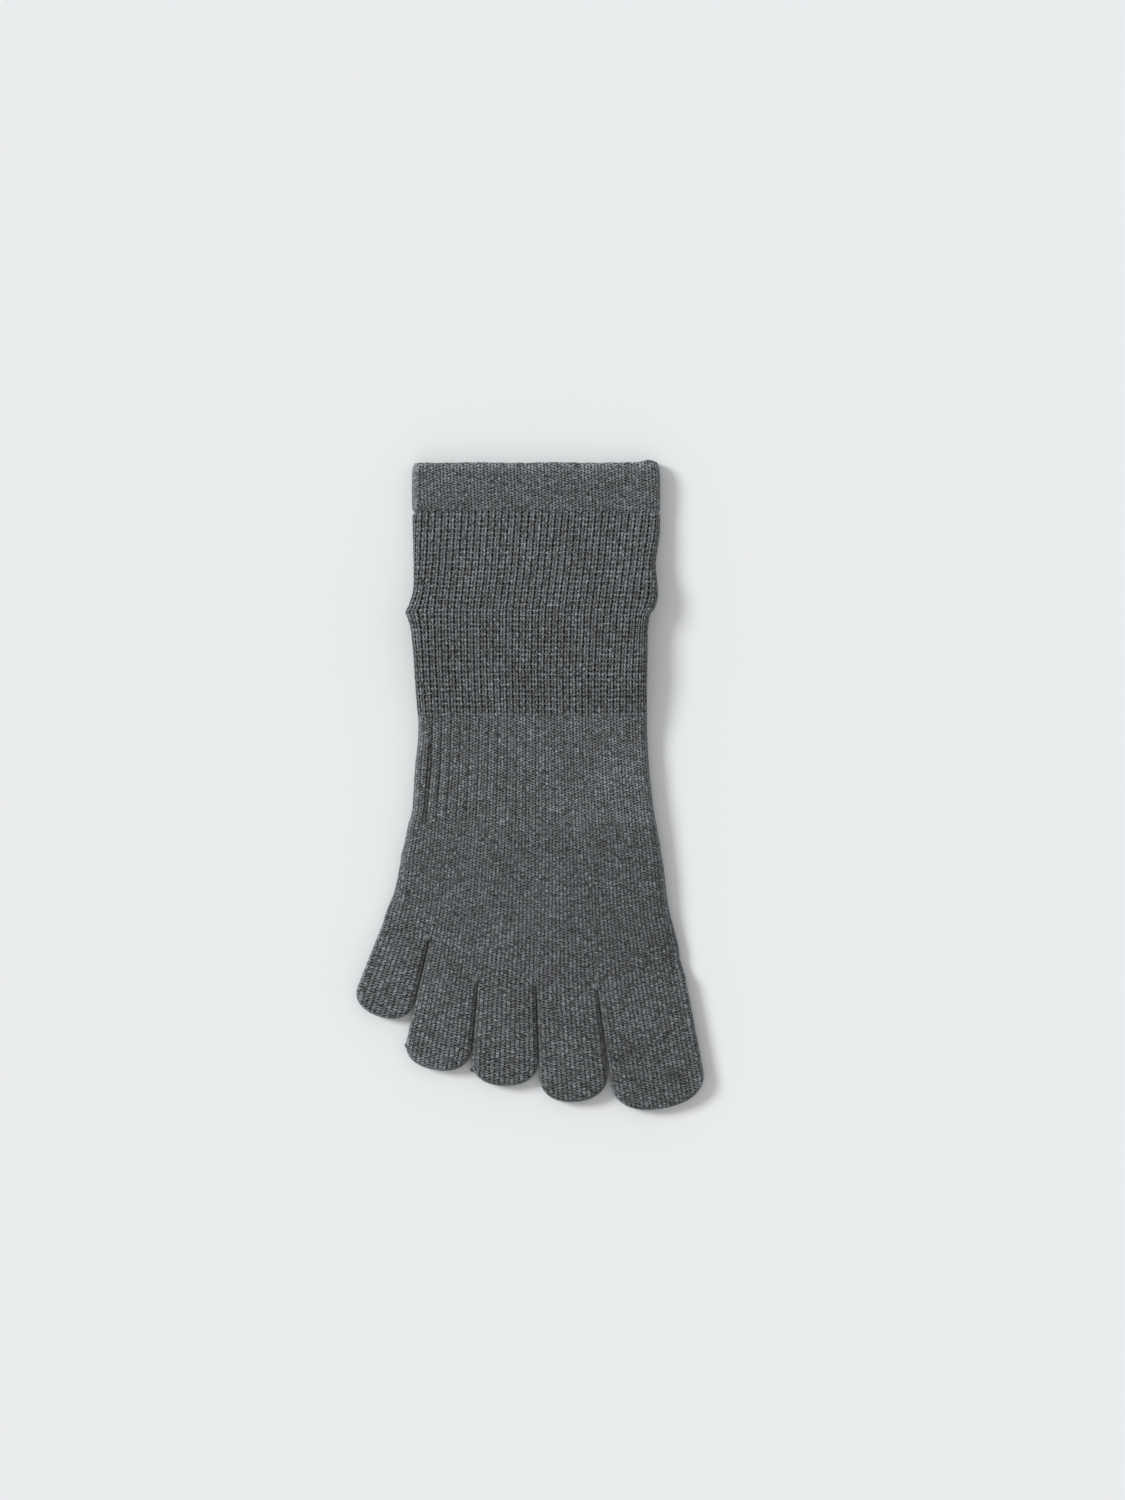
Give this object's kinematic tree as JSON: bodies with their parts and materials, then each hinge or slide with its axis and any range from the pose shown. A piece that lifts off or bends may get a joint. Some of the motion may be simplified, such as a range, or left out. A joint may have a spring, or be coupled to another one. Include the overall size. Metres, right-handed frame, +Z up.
{
  "type": "five-toe ankle sock",
  "caption": "Short knitted sock for a right foot with a separate pocket for each toe, lying flat with the instep up and the heel pocket folded under the sole.",
  "frame": {"origin": "middle of the footprint, on the surface that the sock lies on", "axes": "+Y towards the cuff and -Y towards the toes, +X towards the big toe's side, +Z up out of the instep"},
  "size_m": [0.1334, 0.2486, 0.0121],
  "materials": {
    "welt_knit": "dark grey melange, fine plain knit, doubled",
    "tuck_knit": "dark grey melange, tuck knit with columns of small holes",
    "rib_knit": "dark grey melange, fine elastic rib",
    "plain_knit": "dark grey melange, plain knit"
  },
  "bodies": {
    "root": {"cuff_welt": "welt_knit", "leg_tube": "tuck_knit", "heel_pocket": "plain_knit", "instep_tube": "tuck_knit", "arch_band": "rib_knit", "forefoot": "plain_knit", "little_toe": "plain_knit", "fourth_toe": "plain_knit", "third_toe": "plain_knit", "second_toe": "plain_knit", "big_toe": "plain_knit"}
  },
  "joints": []
}
